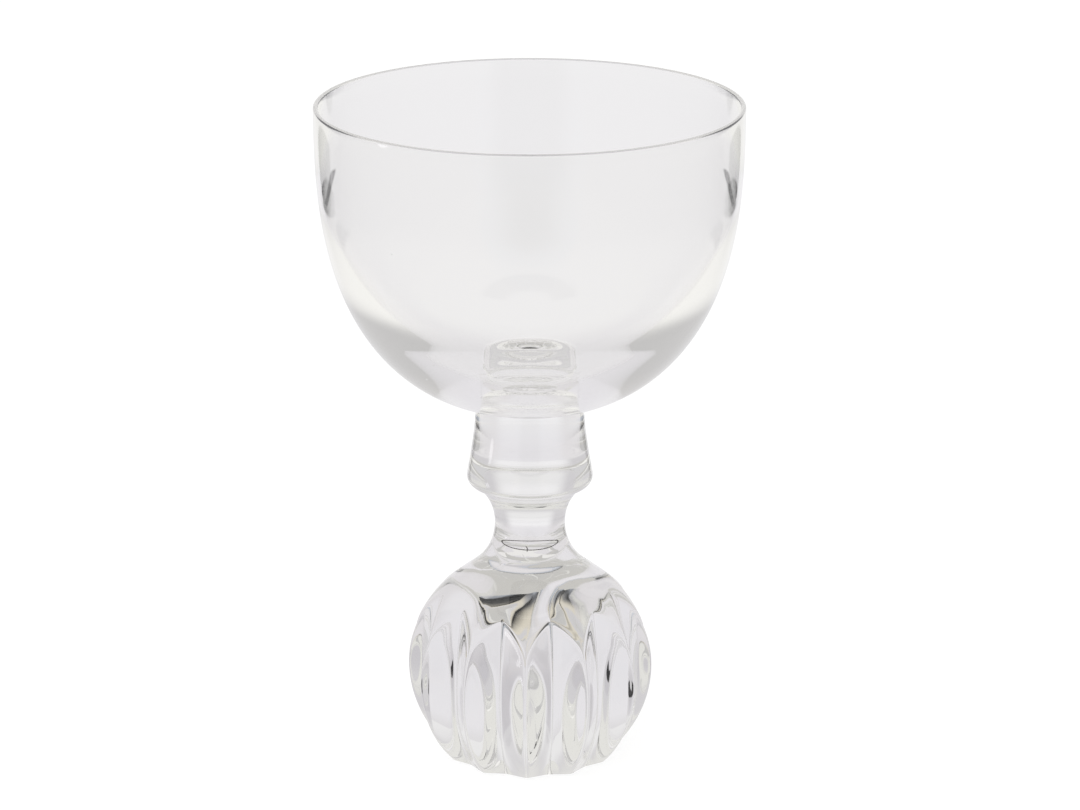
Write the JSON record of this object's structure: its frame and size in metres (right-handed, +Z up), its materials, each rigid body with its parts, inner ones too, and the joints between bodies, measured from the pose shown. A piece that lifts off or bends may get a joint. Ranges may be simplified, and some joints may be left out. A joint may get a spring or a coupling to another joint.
{
  "type": "water goblet",
  "caption": "Clear glass water goblet: a deep round bowl on a solid tapered knop, a short waisted neck and a heavy fluted ball foot with a flat underside.",
  "frame": {"origin": "centre of the flat underside of the ball foot, on the surface that the goblet stands on", "axes": "+Z up along the goblet's axis, +X to the right and +Y away from the viewer in the picture"},
  "size_m": [0.1, 0.1, 0.16],
  "materials": {
    "clear_glass": "clear soda-lime glass, fire-polished, with crisp pressed flutes"
  },
  "bodies": {
    "root": {"ball_foot": "clear_glass", "neck": "clear_glass", "knop": "clear_glass", "bowl": "clear_glass"}
  },
  "joints": []
}
